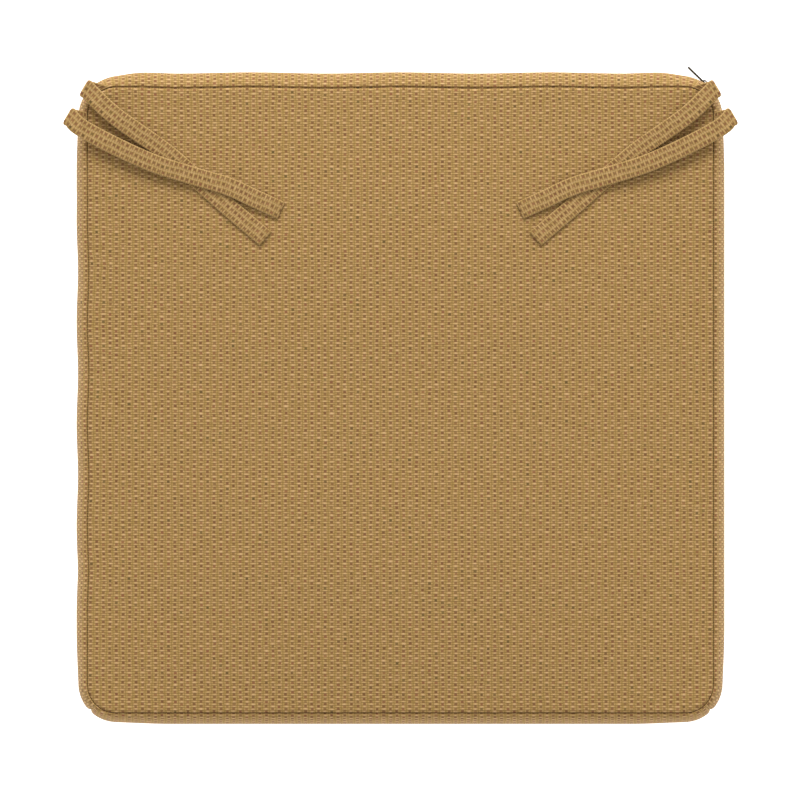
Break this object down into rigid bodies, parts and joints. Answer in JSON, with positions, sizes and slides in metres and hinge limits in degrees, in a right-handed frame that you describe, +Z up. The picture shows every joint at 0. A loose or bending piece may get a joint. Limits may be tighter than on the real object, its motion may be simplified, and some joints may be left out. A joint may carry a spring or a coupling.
{
  "type": "seat cushion",
  "caption": "Square boxed seat cushion with a zipped woven cover over foam and batting, and a pair of flat fabric ties folded back at each rear corner.",
  "frame": {"origin": "middle of the flat underside, below the middle of the seam outline", "axes": "+Z up through the cushion, +Y towards the zipped rear edge with the ties, +X towards the closed end of the zip"},
  "size_m": [0.4736, 0.4655, 0.0515],
  "materials": {
    "woven_cover": "woven outdoor acrylic, matt",
    "tie_cloth": "woven outdoor acrylic, folded and pressed",
    "foam": "open-cell polyurethane foam",
    "batting": "bonded polyester batting",
    "zip_tape": "woven polyester tape",
    "zip_coil": "polyester coil",
    "zip_metal": "dark bronze enamel"
  },
  "bodies": {
    "cover": {"top_panel": "woven_cover", "bottom_panel": "woven_cover", "front_boxing": "woven_cover", "left_boxing": "woven_cover", "right_boxing": "woven_cover", "zip_strip_upper": "woven_cover", "zip_strip_lower": "woven_cover", "zip_tape_upper": "zip_tape", "zip_tape_lower": "zip_tape", "zip_coil_upper": "zip_coil", "zip_coil_lower": "zip_coil", "foam_core": "foam", "batting_top": "batting", "batting_bottom": "batting", "left_rear_tie_root": "tie_cloth", "left_front_tie_root": "tie_cloth", "right_rear_tie_root": "tie_cloth", "right_front_tie_root": "tie_cloth"},
    "zip_slider": {"zip_slider": "zip_metal"},
    "zip_pull": {"zip_pull": "zip_metal"},
    "left_rear_tie": {"left_rear_tie": "tie_cloth"},
    "left_front_tie": {"left_front_tie": "tie_cloth"},
    "right_rear_tie": {"right_rear_tie": "tie_cloth"},
    "right_front_tie": {"right_front_tie": "tie_cloth"}
  },
  "joints": [
    {"name": "zip_slide", "type": "slide", "parent": "cover", "child": "zip_slider", "axis": [1, 0, 0], "range_m": [-0.42, 0]},
    {"name": "pull_swing", "type": "hinge", "parent": "zip_slider", "child": "zip_pull", "pos_m": [0.21525, 0.22475, 0.022], "axis": [0, 0, 1], "range_deg": [-130, 40]},
    {"name": "left_front_tie_fold", "type": "hinge", "parent": "cover", "child": "left_front_tie", "pos_m": [-0.2338, 0.2001, 0.04445], "axis": [-0.5068, -0.862, 0], "range_deg": [0, 180]},
    {"name": "left_rear_tie_fold", "type": "hinge", "parent": "cover", "child": "left_rear_tie", "pos_m": [-0.2221, 0.22, 0.04445], "axis": [-0.5068, -0.862, 0], "range_deg": [0, 180]},
    {"name": "right_front_tie_fold", "type": "hinge", "parent": "cover", "child": "right_front_tie", "pos_m": [0.2338, 0.2001, 0.04445], "axis": [-0.5068, 0.862, 0], "range_deg": [0, 180]},
    {"name": "right_rear_tie_fold", "type": "hinge", "parent": "cover", "child": "right_rear_tie", "pos_m": [0.2221, 0.22, 0.04445], "axis": [-0.5068, 0.862, 0], "range_deg": [0, 180]}
  ],
  "couplings": [
    {"joint": "left_rear_tie_fold", "follows": "left_front_tie_fold", "ratio": 1},
    {"joint": "right_rear_tie_fold", "follows": "right_front_tie_fold", "ratio": 1}
  ]
}
